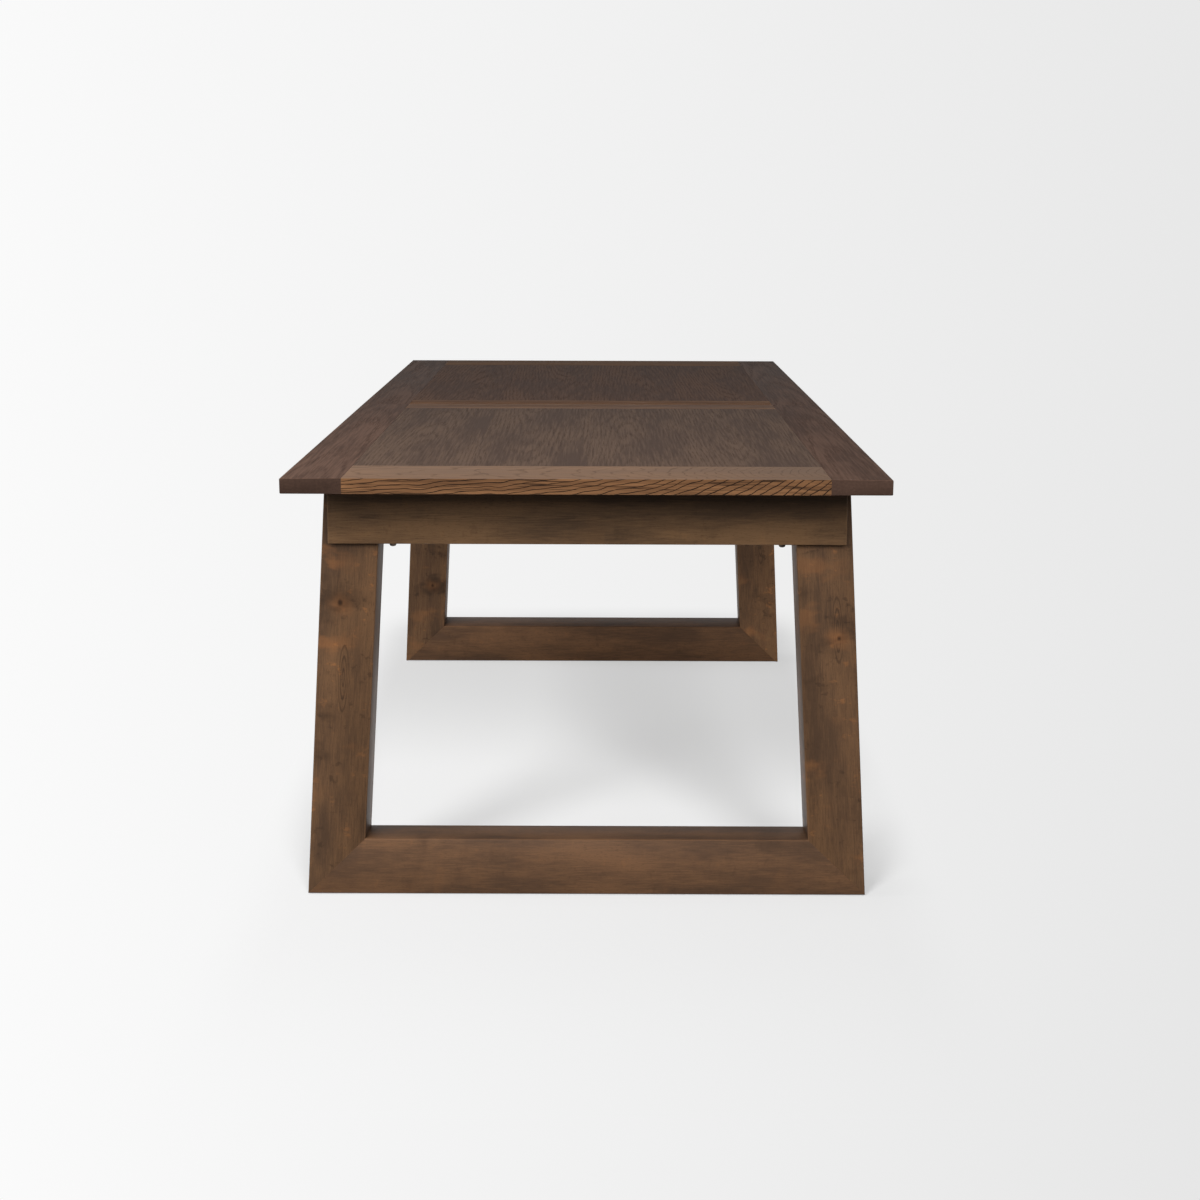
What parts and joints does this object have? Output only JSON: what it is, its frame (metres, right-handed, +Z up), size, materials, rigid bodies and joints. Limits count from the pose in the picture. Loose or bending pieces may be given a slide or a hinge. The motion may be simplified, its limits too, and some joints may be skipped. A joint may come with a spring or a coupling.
{
  "type": "extending dining table",
  "caption": "Wooden dining table on leaning, splayed trestles. Its framed top parts at the middle and slides open for a folding leaf stored underneath.",
  "frame": {"origin": "on the floor under the middle of the closed table", "axes": "+X to the right of someone who stands at the near end, +Y along the table to the far end, +Z up"},
  "size_m": [0.974, 2.134, 0.762],
  "materials": {
    "oak_rail": "satin, stained oak",
    "oak_stile": "satin, stained oak",
    "oak_panel": "satin, stained oak veneer",
    "stained_maple": "satin, stained hardwood",
    "plain_hardwood": "sanded, waxed",
    "nylon": "moulded",
    "brass": "satin",
    "dark_steel": "black oxide"
  },
  "bodies": {
    "near_half": {"latch_plates": "dark_steel", "left_near_rack": "nylon", "left_near_runner": "plain_hardwood", "near_end_apron": "stained_maple", "near_end_rail": "oak_rail", "near_foot_rail": "stained_maple", "near_glides": "nylon", "near_glue_blocks": "plain_hardwood", "near_head_rail": "plain_hardwood", "near_head_tenons": "plain_hardwood", "near_inner_rail": "oak_rail", "near_leg_left": "stained_maple", "near_leg_right": "stained_maple", "near_mitre_tenons": "plain_hardwood", "near_panel": "oak_panel", "near_side_apron_left": "stained_maple", "near_side_apron_right": "stained_maple", "near_stile_left": "oak_stile", "near_stile_right": "oak_stile", "near_trestle_bolts": "dark_steel", "right_near_rack": "nylon", "right_near_runner": "plain_hardwood"},
    "far_half": {"far_end_apron": "stained_maple", "far_end_rail": "oak_rail", "far_foot_rail": "stained_maple", "far_glides": "nylon", "far_glue_blocks": "plain_hardwood", "far_head_rail": "plain_hardwood", "far_head_tenons": "plain_hardwood", "far_inner_rail": "oak_rail", "far_leg_left": "stained_maple", "far_leg_right": "stained_maple", "far_mitre_tenons": "plain_hardwood", "far_panel": "oak_panel", "far_side_apron_left": "stained_maple", "far_side_apron_right": "stained_maple", "far_stile_left": "oak_stile", "far_stile_right": "oak_stile", "far_trestle_bolts": "dark_steel", "latch_keepers": "dark_steel", "left_far_rack": "nylon", "left_far_runner": "plain_hardwood", "right_far_rack": "nylon", "right_far_runner": "plain_hardwood", "seam_pins": "brass"},
    "carriage": {"far_bearer": "plain_hardwood", "leaf_hinges": "brass", "leaf_lower_panel": "oak_panel", "leaf_lower_stile": "oak_stile", "leaf_upper_panel": "oak_panel", "leaf_upper_stile": "oak_stile", "left_mid_runner": "plain_hardwood", "near_bearer": "plain_hardwood", "pinion_axles": "dark_steel", "right_mid_runner": "plain_hardwood"},
    "left_gear": {"left_pinion": "nylon"},
    "right_gear": {"right_pinion": "nylon"},
    "left_lever": {"left_latch": "dark_steel"},
    "right_lever": {"right_latch": "dark_steel"}
  },
  "joints": [
    {"name": "top_extend", "type": "slide", "parent": "near_half", "child": "far_half", "axis": [0, 1, 0], "range_m": [0, 0.47]},
    {"name": "carriage_follow", "type": "slide", "parent": "near_half", "child": "carriage", "axis": [0, 1, 0], "range_m": [0, 0.235]},
    {"name": "left_gear_turn", "type": "hinge", "parent": "carriage", "child": "left_gear", "pos_m": [-0.293, 0, 0.728], "axis": [0, 0, 1], "range_deg": [0, 673.3]},
    {"name": "right_gear_turn", "type": "hinge", "parent": "carriage", "child": "right_gear", "pos_m": [0.293, 0, 0.728], "axis": [0, 0, 1], "range_deg": [-673.3, 0]},
    {"name": "left_latch_turn", "type": "hinge", "parent": "near_half", "child": "left_lever", "pos_m": [-0.353, -0.014, 0.7315], "axis": [0, 0, -1], "range_deg": [0, 180]},
    {"name": "right_latch_turn", "type": "hinge", "parent": "near_half", "child": "right_lever", "pos_m": [0.353, -0.014, 0.7315], "axis": [0, 0, 1], "range_deg": [0, 180]}
  ],
  "couplings": [
    {"joint": "carriage_follow", "follows": "top_extend", "ratio": 0.5},
    {"joint": "left_gear_turn", "follows": "top_extend", "rad_per_m": 25},
    {"joint": "right_gear_turn", "follows": "top_extend", "rad_per_m": -25}
  ]
}
